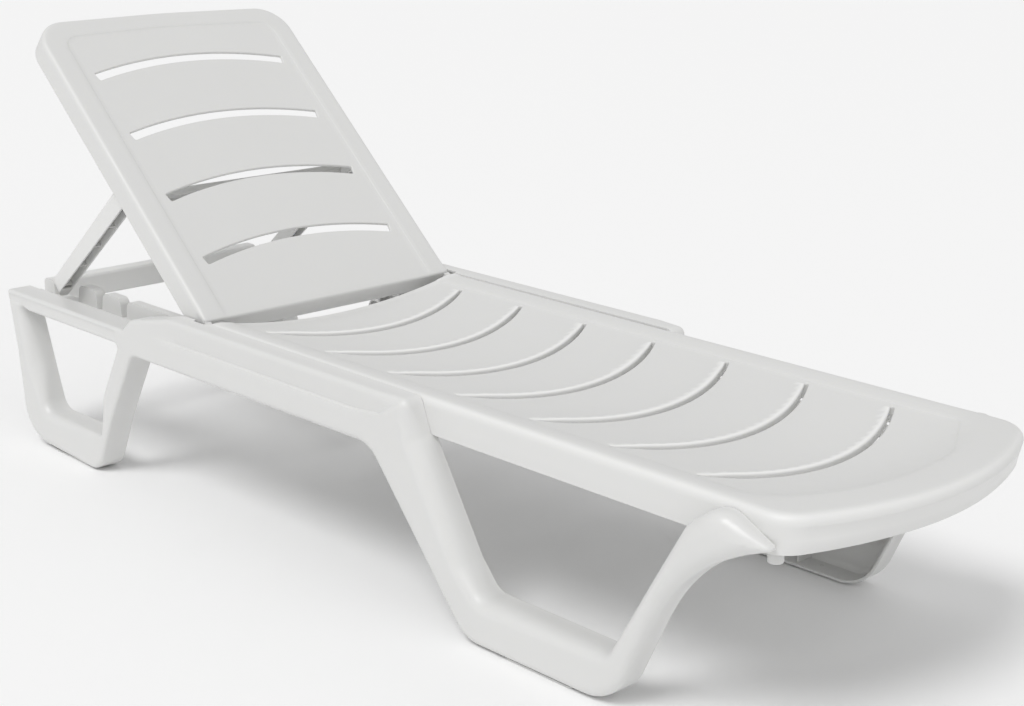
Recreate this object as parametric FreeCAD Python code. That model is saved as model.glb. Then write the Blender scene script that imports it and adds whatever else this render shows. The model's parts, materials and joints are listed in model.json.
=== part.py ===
"""Reclining sun lounger in white moulded resin.

Frame: X runs from the head end (-X) to the foot end (+X), Y across, Z up from the floor.
The origin is on the floor, in the middle of the outline. Millimetres and degrees.
The backrest is modelled flat and then raised about its hinge; the prop is modelled folded
against the backrest and then swung down about its pivot.
"""
import FreeCAD, Part
import math
import os

V = FreeCAD.Vector

# ---- driving dimensions --------------------------------------------------------------------------
HALF_LENGTH = 969.0        # head end and foot end of the bed, either side of the origin
HALF_WIDTH = 325.0         # outer faces of the side frames
BED_HALF = 285.0           # sides of the lying surface
BED_TOP = 346.0            # level of its flat border
SKIRT = 56.0               # depth of the skirt round the lying surface
WALL = 4.0                 # moulded wall
FOOT_PAD = 3.0             # pads stand this far below the legs
HINGE_X = -360.0           # lower edge of the raised backrest
RAISED = 41.5              # backrest angle as modelled

DISH = 27.0                # sag of the lying surface along its middle
DISH_HALF = 265.0          # half width of the dished area
DISH_FADE = (770.0, 905.0) # the dish dies out between these places
END_CORNER = 60.0          # corner radius at the foot end
END_BOW = 555.0            # radius of the round end
END_SETBACK = 72.6         # its corners stand this far back,
END_APEX = 68.1             # and its middle this far out, before rounding
END_DRAFT = 18.0           # the skirt leans in this much at the foot end
SLOT_COUNT = 7
SLOT_PITCH = 160.6
SLOT_FIRST = -263.0        # ends of the first slot
SLOT_HALF = 224.0
SLOT_BOW = 60.0
SLOT_WIDTH = 8.0
DECK_RIBS = (-190.0, -95.0, 0.0, 95.0, 190.0)
RIB = 3.0

BACK_LENGTH = 710.0
BACK_HALF = 283.0
BACK_DEPTH = 44.0
BACK_CORNER = 64.0
BACK_SLOTS = 4
BACK_SLOT_FIRST = 125.0
BACK_SLOT_PITCH = 146.3
BACK_SLOT_HALF = 210.0
BACK_SLOT_BOW = 27.0
BACK_SLOT_WIDTH = 18.0
BACK_RIBS = (-175.0, -60.0, 60.0, 175.0)

HINGE_BELOW = 15.0         # hinge axis under the face of the backrest
HINGE_BEYOND = 5.7         # and past its lower edge
HINGE_PIN = 6.0            # pin radius
EAR = 14.0                 # radius of the hinge ears

PIVOT_UP = 316.0           # prop pivot, up the backrest from its lower edge
PIVOT_BELOW = 26.0         # and under its face
PIVOT_PIN = 6.0
RUNNING_FIT = 0.05
PROP_LENGTH = 356.0        # pivot to the centre of the foot
PROP_FOOT = 14.0           # radius of the foot
PROP_FOOT_LEVEL = 303.0    # height of the foot's centre as modelled
PROP_WALL = 3.5
PROP_GUSSETS = (110.0, 180.0, 250.0, 322.0)
PROP_HALF = 18.0           # half width of an arm
PROP_IN, PROP_OUT = 246.0, 273.0

FRAME_IN = 275.0           # inner edge of the side frames' channels
RAIL_IN = 277.0
RAIL_TOP, RAIL_BOTTOM = 298.0, 268.0
BEAM_BOTTOM = 255.0
BEAM_END = 205.0           # where the beam's ledge stops at the front leg
TRACK_STOP = -500.0        # foot end of the tracks
TRACK = 280.0              # floor that the prop's feet slide on
RACK_IN, RACK_OUT = 222.0, 242.0
RACK_TOP = 316.0
HEAD_RAIL_TOP = 308.0
HEAD_RAIL_DEPTH = 36.0
EDGE_ROUND = 9.0           # rounding round the outer faces of the side frames

PEG_PLACE = 856.0          # stacking pegs under the foot end
PEG_Y = 252.0
PEG_RADIUS = 11.0
PEG_SEAT = 322.0
PEG_BOTTOM = 267.0

SCREW_PLACES = ((-290.0, 312.0), (-130.0, 312.0), (30.0, 312.0), (165.0, 312.0), (812.0, 312.0))
SCREW_SHANK = 2.5
SCREW_HEAD = 5.0
SCREW_LENGTH = 20.0

PAD_SPANS = ((-834.0, -700.0), (425.0, 560.0))
PAD_MIDDLE = 301.0
PAD_HALF = 16.0
PAD_STUD = 3.5
PAD_STUD_INSET = 24.0

SKIRT_BOTTOM = BED_TOP - SKIRT
BED_REAR = HINGE_X + 13.0
TRACK_START = -HALF_LENGTH + HEAD_RAIL_DEPTH + 6.0
TRACK_HUMPS = ((-844.0, -776.0), (-760.0, -692.0), (-676.0, TRACK_STOP))

# ---- outlines of a side frame: (x, z, corner radius) ---------------------------------------------
FRAME_OUTLINE = [
    (-HALF_LENGTH, RAIL_TOP, 9.0),
    (-562.0, RAIL_TOP, 14.0),
    (-538.0, 321.0, 26.0),
    (-420.0, BED_TOP, 90.0),
    (BEAM_END, BED_TOP, 16.0),
    (229.0, 288.0, 30.0),
    (332.0, 122.0, 60.0),
    (372.0, 78.0, 34.0),
    (626.0, 78.0, 22.0),
    (708.0, 226.0, 120.0),
    (752.0, 306.0, 60.0),
    (806.0, 344.0, 42.0),
    (886.0, 302.0, 4.0),
    (760.0, 251.0, 260.0),
    (704.0, 148.0, 120.0),
    (637.0, FOOT_PAD, 80.0),
    (342.0, FOOT_PAD, 62.0),
    (122.0, BEAM_BOTTOM, 60.0),
    (-537.0, BEAM_BOTTOM, 24.0),
    (-614.0, 115.0, 160.0),
    (-664.0, FOOT_PAD, 42.0),
    (-925.0, FOOT_PAD, 86.0),
    (-958.0, 150.0, 320.0),
]
REAR_OPENING = [
    (-926.0, RAIL_BOTTOM, 8.0),
    (-577.0, RAIL_BOTTOM, 8.0),
    (-637.0, 160.0, 60.0),
    (-652.0, 74.0, 12.0),
    (-852.0, 73.0, 36.0),
    (-886.0, 161.0, 150.0),
]
FRAME_RIBS = (-760.0, -610.0, -480.0, -210.0, -50.0, 110.0, 250.0, 340.0, 500.0, 690.0, 750.0)


def rounded_wire(corners, place):
    """Closed wire through (a, b, radius) corners; place(a, b) turns a pair into a point."""
    count = len(corners)
    starts, arcs = [], []
    for i in range(count):
        before = V(corners[i - 1][0], corners[i - 1][1], 0)
        here = V(corners[i][0], corners[i][1], 0)
        after = V(corners[(i + 1) % count][0], corners[(i + 1) % count][1], 0)
        radius = corners[i][2]
        back = (before - here).normalize()
        ahead = (after - here).normalize()
        half = back.getAngle(ahead) / 2
        if radius <= 0 or half > math.radians(89.9):
            arcs.append((here, None, here))
            continue
        reach = radius / math.tan(half)
        inward = (back + ahead).normalize()
        centre = here + inward * (radius / math.sin(half))
        middle = centre - inward * radius
        arcs.append((here + back * reach, middle, here + ahead * reach))
    edges = []
    for i in range(count):
        first, middle, last = [p if p is None else place(p.x, p.y) for p in arcs[i]]
        following = arcs[(i + 1) % count][0]
        following = place(following.x, following.y)
        if middle is not None:
            edges.append(Part.Arc(first, middle, last).toShape())
        if last.distanceToPoint(following) > 1e-4:
            edges.append(Part.LineSegment(last, following).toShape())
    return Part.Wire(edges)


def upright_slab(corners, y_low, y_high):
    """Outline in the XZ plane, extruded across."""
    wire = rounded_wire(corners, lambda a, b: V(a, y_low, b))
    return Part.Face(wire).extrude(V(0, y_high - y_low, 0))


def flat_slab(corners, z_low, z_high):
    """Outline in the XY plane, extruded upwards."""
    wire = rounded_wire(corners, lambda a, b: V(a, b, z_low))
    return Part.Face(wire).extrude(V(0, 0, z_high - z_low))


def block(x_low, x_high, y_low, y_high, z_low, z_high):
    return Part.makeBox(x_high - x_low, y_high - y_low, z_high - z_low, V(x_low, y_low, z_low))


def pin(radius, x, z, y_low, y_high):
    return Part.makeCylinder(radius, y_high - y_low, V(x, y_low, z), V(0, 1, 0))


def peg(radius, x, y, z_low, z_high):
    return Part.makeCylinder(radius, z_high - z_low, V(x, y, z_low))


def mirrored(shape):
    return shape.mirror(V(0, 0, 0), V(0, 1, 0))


def edges_in_plane(shape, test):
    """Edges whose every vertex and midpoint pass the test."""
    found = []
    for edge in shape.Edges:
        middle = edge.valueAt((edge.FirstParameter + edge.LastParameter) / 2)
        points = [vertex.Point for vertex in edge.Vertexes] + [middle]
        if all(test(point) for point in points):
            found.append(edge)
    return found


# ---- places worked out from the driving dimensions -----------------------------------------------
RAISED_RAD = math.radians(RAISED)
UP_BACK = V(-math.cos(RAISED_RAD), 0, math.sin(RAISED_RAD))
OFF_BACK = V(math.sin(RAISED_RAD), 0, math.cos(RAISED_RAD))
HINGE = V(HINGE_X, 0, BED_TOP) - UP_BACK * HINGE_BEYOND - OFF_BACK * HINGE_BELOW
FLAT_TOP = HINGE.z + HINGE_BELOW
FLAT_EDGE = HINGE.x - HINGE_BEYOND
PIVOT_FLAT = V(FLAT_EDGE - PIVOT_UP, 0, FLAT_TOP - PIVOT_BELOW)
FLAT_END = FLAT_EDGE - BACK_LENGTH
PIVOT_HEIGHT = (HINGE + UP_BACK * (HINGE_BEYOND + PIVOT_UP) + OFF_BACK * (HINGE_BELOW - PIVOT_BELOW)).z
PROP_SLOPE = math.degrees(math.asin((PIVOT_HEIGHT - PROP_FOOT_LEVEL) / PROP_LENGTH))
PROP_ANGLE = RAISED + PROP_SLOPE


def raise_with_backrest(shape):
    moved = shape.copy()
    moved.rotate(HINGE, V(0, 1, 0), RAISED)
    return moved


def swing_prop(shape):
    moved = shape.copy()
    moved.rotate(PIVOT_FLAT, V(0, 1, 0), -PROP_ANGLE)
    return raise_with_backrest(moved)


def bow_band(x_end, bow, half, width, z_low, z_high):
    """Curved slot across the bed: its ends at x_end, its middle bowed by bow."""
    low, high = x_end - width / 2, x_end + width / 2
    start, middle, stop = V(low, -half, z_low), V(low + bow, 0, z_low), V(low, half, z_low)
    start_2, middle_2, stop_2 = V(high, half, z_low), V(high + bow, 0, z_low), V(high, -half, z_low)
    wire = Part.Wire([
        Part.Arc(start, middle, stop).toShape(),
        Part.LineSegment(stop, start_2).toShape(),
        Part.Arc(start_2, middle_2, stop_2).toShape(),
        Part.LineSegment(stop_2, start).toShape(),
    ])
    return Part.Face(wire).extrude(V(0, 0, z_high - z_low))


# ---- lying surface -------------------------------------------------------------------------------
def deck_outline(inset, end_inset):
    side = BED_HALF - inset
    tip = HALF_LENGTH - end_inset
    corner = END_CORNER - inset
    bow = END_BOW - 2.0 * inset
    return [
        (BED_REAR + inset, -side, 3.0), (tip - END_SETBACK, -side, corner), (tip + END_APEX, 0.0, bow),
        (tip - END_SETBACK, side, corner), (BED_REAR + inset, side, 3.0),
    ]


def skirted_block(inset, z_low, z_high):
    """Bed outline with the foot end drawn in towards the bottom."""
    low = rounded_wire(deck_outline(inset, inset + END_DRAFT), lambda a, b: V(a, b, z_low))
    high = rounded_wire(deck_outline(inset, inset), lambda a, b: V(a, b, z_high))
    return Part.makeLoft([low, high], True, True)


def dish_tool(drop):
    """Everything above the dished face, lowered by drop: a long trough that runs out at the foot."""
    start, stop = DISH_FADE
    top = BED_TOP - drop
    turn_height = ((stop - start) ** 2 - DISH ** 2) / (2 * DISH)
    arc = Part.Arc(V(start, -DISH_HALF, top), V(start, 0, top - DISH), V(start, DISH_HALF, top)).toShape()
    chord = Part.LineSegment(V(start, DISH_HALF, top), V(start, -DISH_HALF, top)).toShape()
    section = Part.Face(Part.Wire([arc, chord]))
    trough = section.extrude(V(BED_REAR - 30.0 - start, 0, 0))
    sweep = math.degrees(math.atan2(stop - start, turn_height)) + 4.0
    run_out = section.revolve(V(start, 0, top + turn_height), V(0, -1, 0), sweep)
    return trough.fuse(run_out)


def deck_slots():
    return [
        bow_band(SLOT_FIRST + SLOT_PITCH * i, SLOT_BOW, SLOT_HALF, SLOT_WIDTH, 240.0, 400.0)
        for i in range(SLOT_COUNT)
    ]


def deck_panel():
    body = skirted_block(0.0, SKIRT_BOTTOM, BED_TOP)
    rim = edges_in_plane(body, lambda p: abs(p.z - BED_TOP) < 0.01 and p.x > BED_REAR + 3.5)
    body = body.makeFillet(9.0, rim)
    body = body.cut(dish_tool(0.0))
    hollow = skirted_block(WALL, SKIRT_BOTTOM - 1.0, BED_TOP - WALL)
    hollow = hollow.cut(dish_tool(WALL))
    rib_z = SKIRT_BOTTOM + 8.0
    ribs = []
    for y in DECK_RIBS:
        ribs.append(block(BED_REAR, HALF_LENGTH, y - RIB / 2, y + RIB / 2, rib_z, 400.0))
    for i in range(SLOT_COUNT):
        for side in (-1, 1):
            middle = SLOT_FIRST + SLOT_PITCH * i + side * 9.0
            ribs.append(bow_band(middle, SLOT_BOW, SLOT_HALF + 45.0, RIB, rib_z + 6.0, 400.0))
    hollow = hollow.cut(Part.makeCompound(ribs))
    body = body.cut(hollow)
    slots = Part.makeCompound(deck_slots())
    body = body.cut(slots)
    for y in (-PEG_Y, PEG_Y):
        body = body.fuse(peg(PEG_RADIUS + 5.0, PEG_PLACE, y, SKIRT_BOTTOM + 8.0, BED_TOP - 3.0))
        body = body.cut(peg(PEG_RADIUS, PEG_PLACE, y, SKIRT_BOTTOM - 1.0, PEG_SEAT))
    for x, z in SCREW_PLACES:
        for side in (-1, 1):
            body = body.cut(pin(SCREW_SHANK, x, z, side * BED_HALF - 8.0, side * BED_HALF + 8.0))
    return body.removeSplitter()


# ---- stacking pegs -------------------------------------------------------------------------------
def stacking_peg(y):
    body = peg(PEG_RADIUS, PEG_PLACE, y, PEG_BOTTOM, PEG_SEAT)
    lower = edges_in_plane(body, lambda p: abs(p.z - PEG_BOTTOM) < 0.01)
    return body.makeFillet(2.0, lower)


# ---- screws that hold the deck to the side frames ------------------------------------------------
def frame_screws(side):
    solids = []
    face = BED_HALF - WALL
    for x, z in SCREW_PLACES:
        shank = pin(SCREW_SHANK, x, z, face, face + SCREW_LENGTH)
        head = pin(SCREW_HEAD, x, z, face - 3.0, face)
        crown = edges_in_plane(head, lambda p: abs(p.y - face + 3.0) < 0.01)
        screw = shank.fuse(head.makeFillet(1.5, crown)).removeSplitter()
        solids.append(screw if side > 0 else mirrored(screw))
    return Part.makeCompound(solids)


# ---- side frames ---------------------------------------------------------------------------------
def offset_corners(corners, distance):
    """The same outline moved inwards by distance; corner radii follow."""
    area = 0.0
    count = len(corners)
    for i in range(count):
        x1, z1, _ = corners[i]
        x2, z2, _ = corners[(i + 1) % count]
        area += x1 * z2 - x2 * z1
    turn = 1.0 if area > 0 else -1.0
    moved = []
    for i in range(count):
        before, here, after = corners[i - 1], corners[i], corners[(i + 1) % count]
        first = V(here[0] - before[0], here[1] - before[1], 0).normalize()
        second = V(after[0] - here[0], after[1] - here[1], 0).normalize()
        normal_1 = V(-first.y, first.x, 0) * turn
        normal_2 = V(-second.y, second.x, 0) * turn
        shift = (normal_1 + normal_2) * (distance / (1.0 + normal_1.dot(normal_2)))
        convex = first.cross(second).z * turn > 0
        radius = here[2] - distance if convex else here[2] + distance
        moved.append((here[0] + shift.x, here[1] + shift.y, max(radius, 0.5)))
    return moved


def side_frame():
    """Beam, front and rear leg loops and the head rail of one side, as one open-backed shell."""
    outer = upright_slab(FRAME_OUTLINE, FRAME_IN, HALF_WIDTH)
    outer = outer.cut(upright_slab(REAR_OPENING, FRAME_IN - 1.0, HALF_WIDTH + 1.0))
    rims = edges_in_plane(outer, lambda p: abs(p.y - HALF_WIDTH) < 0.01)
    outer = outer.makeFillet(EDGE_ROUND, rims)
    outer = outer.cut(block(-700.0, 950.0, FRAME_IN - 1.0, BED_HALF, SKIRT_BOTTOM - 1.0, 400.0))
    outer = outer.cut(block(TRACK_START, BED_REAR - 120.0, FRAME_IN - 1.0, RAIL_IN, 262.0, 400.0))

    pocket = upright_slab(offset_corners(FRAME_OUTLINE, WALL), FRAME_IN - 2.0, HALF_WIDTH - WALL)
    rib_boxes = [block(x - RIB / 2, x + RIB / 2, FRAME_IN + 8.0, 400.0, 0.0, 400.0) for x in FRAME_RIBS]
    wall_round = upright_slab(offset_corners(REAR_OPENING, -WALL), FRAME_IN - 3.0, HALF_WIDTH)
    pocket = pocket.cut(Part.makeCompound([wall_round] + rib_boxes))
    bosses = [pin(6.0, x, z, BED_HALF, HALF_WIDTH) for x, z in SCREW_PLACES]
    bosses.append(pin(EAR - 2.0, HINGE.x, HINGE.z, BED_HALF, HALF_WIDTH))
    pocket = pocket.cut(Part.makeCompound(bosses))
    body = outer.cut(pocket)
    for x, z in SCREW_PLACES:
        body = body.cut(pin(SCREW_SHANK, x, z, BED_HALF - 1.0, BED_HALF - WALL + SCREW_LENGTH))
    body = body.cut(pin(HINGE_PIN, HINGE.x, HINGE.z, BED_HALF - 1.0, BED_HALF + 14.0))
    for x_low, x_high in PAD_SPANS:
        for x in (x_low + PAD_STUD_INSET, x_high - PAD_STUD_INSET):
            body = body.cut(peg(PAD_STUD, x, PAD_MIDDLE, -1.0, FOOT_PAD + WALL + 3.0))
    return body.removeSplitter()


# ---- foot pads -----------------------------------------------------------------------------------
def foot_pad(span):
    x_low, x_high = span
    low, high = PAD_MIDDLE - PAD_HALF, PAD_MIDDLE + PAD_HALF
    outline = [(x_low, low, 8.0), (x_high, low, 8.0), (x_high, high, 8.0), (x_low, high, 8.0)]
    body = flat_slab(outline, 0.0, FOOT_PAD)
    for x in (x_low + PAD_STUD_INSET, x_high - PAD_STUD_INSET):
        body = body.fuse(peg(PAD_STUD, x, PAD_MIDDLE, 1.0, FOOT_PAD + WALL + 1.0))
    return body.removeSplitter()


# ---- head cross rail and prop tracks -------------------------------------------------------------
def head_rail():
    x_low, x_high = -HALF_LENGTH, -HALF_LENGTH + HEAD_RAIL_DEPTH
    top = upright_slab([
        (x_low, RAIL_BOTTOM - 4.0, 3.0), (x_high + 6.0, RAIL_BOTTOM - 4.0, 3.0), (x_high, HEAD_RAIL_TOP, 8.0),
        (x_low, HEAD_RAIL_TOP, 10.0),
    ], -FRAME_IN, FRAME_IN)
    hollow = upright_slab([
        (x_low + WALL, RAIL_BOTTOM - 9.0, 0.5), (x_high + 2.0, RAIL_BOTTOM - 9.0, 0.5),
        (x_high - WALL, HEAD_RAIL_TOP - WALL, 4.0), (x_low + WALL, HEAD_RAIL_TOP - WALL, 6.0),
    ], -RACK_OUT + WALL, RACK_OUT - WALL)
    body = top.cut(hollow)
    for side in (-1, 1):
        low = min(side * RACK_OUT, side * (FRAME_IN + 1.0))
        body = body.cut(block(x_low - 1.0, x_high + 9.0, low, low + FRAME_IN + 1.0 - RACK_OUT, TRACK, 400.0))
    for y in (-120.0, 0.0, 120.0):
        rib = block(x_low + 1.0, x_high - 1.0, y - RIB / 2, y + RIB / 2, RAIL_BOTTOM, HEAD_RAIL_TOP - 2.0)
        body = body.fuse(rib)
    return body.removeSplitter()


def prop_track():
    """Track with humps that the feet of the prop stand against."""
    x_low, x_high = TRACK_START, TRACK_STOP
    floor = block(x_low, x_high, RACK_IN, RAIL_IN, TRACK - WALL, TRACK)
    low_wall = block(x_low, x_high, RACK_IN, RACK_IN + WALL, RAIL_BOTTOM, TRACK)
    web = block(x_low, x_high, RAIL_IN - 2.5, RAIL_IN, RAIL_BOTTOM, RAIL_TOP)
    body = floor.fuse([low_wall, web])
    for start, stop in TRACK_HUMPS:
        hump = upright_slab([
            (start, TRACK - 1.0, 0.0), (stop, TRACK - 1.0, 0.0), (stop - 4.0, RACK_TOP, 14.0),
            (start + 4.0, RACK_TOP, 14.0),
        ], RACK_IN, RACK_OUT)
        hollow = upright_slab([
            (start + WALL, RAIL_BOTTOM, 0.0), (stop - WALL, RAIL_BOTTOM, 0.0),
            (stop - 4.0 - WALL, RACK_TOP - WALL, 10.0), (start + 4.0 + WALL, RACK_TOP - WALL, 10.0),
        ], RACK_IN + WALL, RACK_OUT - WALL)
        body = body.fuse(hump).cut(hollow)
    return body.removeSplitter()


# ---- backrest ------------------------------------------------------------------------------------
def back_outline(inset):
    side = BACK_HALF - inset
    corner = BACK_CORNER - inset
    return [
        (FLAT_EDGE - inset, -side, 6.0), (FLAT_EDGE - inset, side, 6.0),
        (FLAT_END + inset + 5.0, side, corner), (FLAT_END + inset - 1.0, 0.0, 2400.0),
        (FLAT_END + inset + 5.0, -side, corner),
    ]


def back_slots(width, z_low, z_high):
    half = BACK_SLOT_HALF + (width - BACK_SLOT_WIDTH) / 2
    slots = []
    for i in range(BACK_SLOTS):
        end = FLAT_EDGE - BACK_SLOT_FIRST - BACK_SLOT_PITCH * i
        slots.append(bow_band(end, -BACK_SLOT_BOW, half, width, z_low, z_high))
    return slots


def backrest_panel():
    bottom = FLAT_TOP - BACK_DEPTH
    body = flat_slab(back_outline(0.0), bottom, FLAT_TOP)
    rim = edges_in_plane(body, lambda p: abs(p.z - FLAT_TOP) < 0.01)
    body = body.makeFillet(8.0, rim)
    hollow = flat_slab(back_outline(WALL), bottom - 1.0, FLAT_TOP - WALL)
    lips = back_slots(BACK_SLOT_WIDTH + 6.0, FLAT_TOP - 6.0, FLAT_TOP)
    ribs = []
    for y in BACK_RIBS:
        ribs.append(block(FLAT_END, FLAT_EDGE, y - RIB / 2, y + RIB / 2, FLAT_TOP - 18.0, FLAT_TOP))
    room_low, room_high = PIVOT_FLAT.x - 92.0, PIVOT_FLAT.x - 28.0
    bar_room = block(room_low, room_high, -BACK_HALF, BACK_HALF, bottom - 1.0, FLAT_TOP - 11.0)
    hollow = hollow.cut(Part.makeCompound(ribs + lips).cut(bar_room))
    for side in (-1, 1):
        ear_low = min(side * (BACK_HALF - 12.0), side * BACK_HALF)
        ear = pin(EAR, HINGE.x, HINGE.z, ear_low, ear_low + 12.0)
        web = block(FLAT_EDGE - 26.0, FLAT_EDGE, ear_low, ear_low + 12.0, bottom, FLAT_TOP - 8.0)
        hollow = hollow.cut(web)
        body = body.fuse(ear.cut(block(-500.0, 0.0, -400.0, 400.0, FLAT_TOP, 500.0)))
    body = body.cut(hollow)
    body = body.cut(Part.makeCompound(back_slots(BACK_SLOT_WIDTH, bottom - 5.0, FLAT_TOP + 5.0)))
    body = body.cut(pin(HINGE_PIN + RUNNING_FIT, HINGE.x, HINGE.z, -BACK_HALF - 5.0, BACK_HALF + 5.0))
    body = body.cut(pin(PIVOT_PIN, PIVOT_FLAT.x, PIVOT_FLAT.z, -BACK_HALF + 1.5, BACK_HALF - 1.5))
    return raise_with_backrest(body.removeSplitter())


# ---- prop ----------------------------------------------------------------------------------------
def prop_arm_outline(inset):
    """Arm along -X from the pivot, rounded at the pivot and at the foot."""
    x_pivot, z_pivot = PIVOT_FLAT.x, PIVOT_FLAT.z
    foot = x_pivot - PROP_LENGTH - PROP_FOOT + inset
    wide = PROP_HALF - inset
    return [
        (x_pivot + wide, z_pivot + wide, wide - 0.2), (x_pivot + wide, z_pivot - wide, wide - 0.2),
        (foot, z_pivot - wide + 4.0, PROP_FOOT - inset), (foot, z_pivot + wide - 4.0, PROP_FOOT - inset),
    ]


def prop_arm():
    """One arm: a channel open underneath, with gussets, its foot narrowed on the outer side."""
    x_pivot, z_pivot = PIVOT_FLAT.x, PIVOT_FLAT.z
    low, high = PROP_IN + PROP_WALL, PROP_OUT - PROP_WALL
    under = z_pivot - PROP_HALF - 1.0
    arm = upright_slab(prop_arm_outline(0.0), PROP_IN, PROP_OUT)
    pocket = upright_slab(prop_arm_outline(PROP_WALL), low, high)
    mouth = block(x_pivot - PROP_LENGTH + 26.0, x_pivot - 24.0, low, high, under, z_pivot)
    keep = [pin(PIVOT_PIN + 5.0, x_pivot, z_pivot, PROP_IN, PROP_OUT)]
    for distance in PROP_GUSSETS:
        x = x_pivot - distance
        keep.append(block(x - RIB / 2, x + RIB / 2, PROP_IN, PROP_OUT, under + 8.0, 500.0))
    foot = x_pivot - PROP_LENGTH - PROP_FOOT
    keep.append(block(foot, foot + 36.0, PROP_IN, PROP_OUT, under, 500.0))
    arm = arm.cut(pocket.fuse(mouth).cut(Part.makeCompound(keep)))
    snipped = [
        (foot - 1.0, PROP_OUT - 17.0, 0.0), (foot + 1.0, PROP_OUT - 17.0, 8.0), (foot + 30.0, PROP_OUT, 20.0),
        (foot + 60.0, PROP_OUT, 0.0), (foot + 60.0, PROP_OUT + 5.0, 0.0), (foot - 1.0, PROP_OUT + 5.0, 0.0),
    ]
    return arm.cut(flat_slab(snipped, under, z_pivot + PROP_HALF + 1.0))


def prop_frame():
    x_pivot, z_pivot = PIVOT_FLAT.x, PIVOT_FLAT.z
    arm = prop_arm()
    bar = upright_slab([
        (x_pivot - 82.0, z_pivot - 2.0, 4.0), (x_pivot - 38.0, z_pivot - 2.0, 4.0),
        (x_pivot - 38.0, z_pivot + 14.0, 4.0), (x_pivot - 82.0, z_pivot + 14.0, 4.0),
    ], -PROP_IN - 1.0, PROP_IN + 1.0)
    inner = PROP_IN - 2.0
    bar_hollow = block(x_pivot - 78.0, x_pivot - 42.0, -inner, inner, z_pivot - 6.0, z_pivot + 10.5)
    body = arm.fuse([mirrored(arm), bar.cut(bar_hollow)])
    body = body.cut(pin(PIVOT_PIN + RUNNING_FIT, x_pivot, z_pivot, -PROP_OUT - 1.0, PROP_OUT + 1.0))
    return swing_prop(body.removeSplitter())


def prop_pin(side):
    low = min(side * (PROP_IN - 3.0), side * (BACK_HALF - 1.5))
    body = pin(PIVOT_PIN, PIVOT_FLAT.x, PIVOT_FLAT.z, low, low + BACK_HALF - 1.5 - PROP_IN + 3.0)
    inner_end = side * (PROP_IN - 3.0)
    tip = edges_in_plane(body, lambda p: abs(p.y - inner_end) < 0.01)
    return raise_with_backrest(body.makeChamfer(1.2, tip))


def hinge_pin(side):
    low = min(side * (BACK_HALF - 14.0), side * (BED_HALF + 14.0))
    body = pin(HINGE_PIN, HINGE.x, HINGE.z, low, low + BED_HALF + 28.0 - BACK_HALF)
    inner_end = side * (BACK_HALF - 14.0)
    tip = edges_in_plane(body, lambda p: abs(p.y - inner_end) < 0.01)
    return body.makeChamfer(1.2, tip)


# ---- assembly ------------------------------------------------------------------------------------
def build():
    frame = side_frame()
    track = prop_track()
    nodes = {
        "deck_panel": deck_panel(),
        "side_frame_left": mirrored(frame),
        "side_frame_right": frame,
        "head_cross_rail": head_rail(),
        "prop_track_left": mirrored(track),
        "prop_track_right": track,
        "backrest_panel": backrest_panel(),
        "prop_frame": prop_frame(),
    }
    for name, side in (("left", -1), ("right", 1)):
        nodes["backrest_hinge_pin_" + name] = hinge_pin(side)
        nodes["prop_pivot_pin_" + name] = prop_pin(side)
        nodes["stacking_peg_" + name] = stacking_peg(side * PEG_Y)
        nodes["frame_screws_" + name] = frame_screws(side)
        for place, span in (("rear", PAD_SPANS[0]), ("front", PAD_SPANS[1])):
            pad = foot_pad(span)
            nodes["foot_pad_" + place + "_" + name] = pad if side > 0 else mirrored(pad)
    return nodes


os.makedirs("parts", exist_ok=True)
for node_name, node_shape in build().items():
    node_shape.exportStep("parts/" + node_name + ".step")
    print(node_name, len(node_shape.Solids), node_shape.isValid(), round(node_shape.Volume / 1000.0, 1))
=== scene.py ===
"""Looks of the reclining sun lounger: fine moulded shells, white resin, studio floor and light."""
import json
import math
import bmesh
import bpy
import numpy as np
from mathutils import Matrix, Vector, geometry


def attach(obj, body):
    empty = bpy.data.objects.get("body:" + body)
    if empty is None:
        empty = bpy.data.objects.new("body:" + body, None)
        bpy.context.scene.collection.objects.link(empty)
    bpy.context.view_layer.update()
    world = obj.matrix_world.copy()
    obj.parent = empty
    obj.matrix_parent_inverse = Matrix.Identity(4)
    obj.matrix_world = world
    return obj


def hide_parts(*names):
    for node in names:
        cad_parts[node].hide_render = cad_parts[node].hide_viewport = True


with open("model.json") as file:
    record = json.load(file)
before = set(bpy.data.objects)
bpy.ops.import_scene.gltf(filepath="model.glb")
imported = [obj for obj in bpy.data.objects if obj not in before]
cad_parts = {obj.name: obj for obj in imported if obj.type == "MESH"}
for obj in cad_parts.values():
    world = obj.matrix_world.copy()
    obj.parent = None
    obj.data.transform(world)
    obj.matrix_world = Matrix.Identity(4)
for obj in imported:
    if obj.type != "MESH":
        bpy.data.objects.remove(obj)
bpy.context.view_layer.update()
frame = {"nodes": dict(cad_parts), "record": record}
MM = 0.001
SHARP_CAD = math.radians(30)
SHARP_PIECE = math.radians(34)


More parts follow.
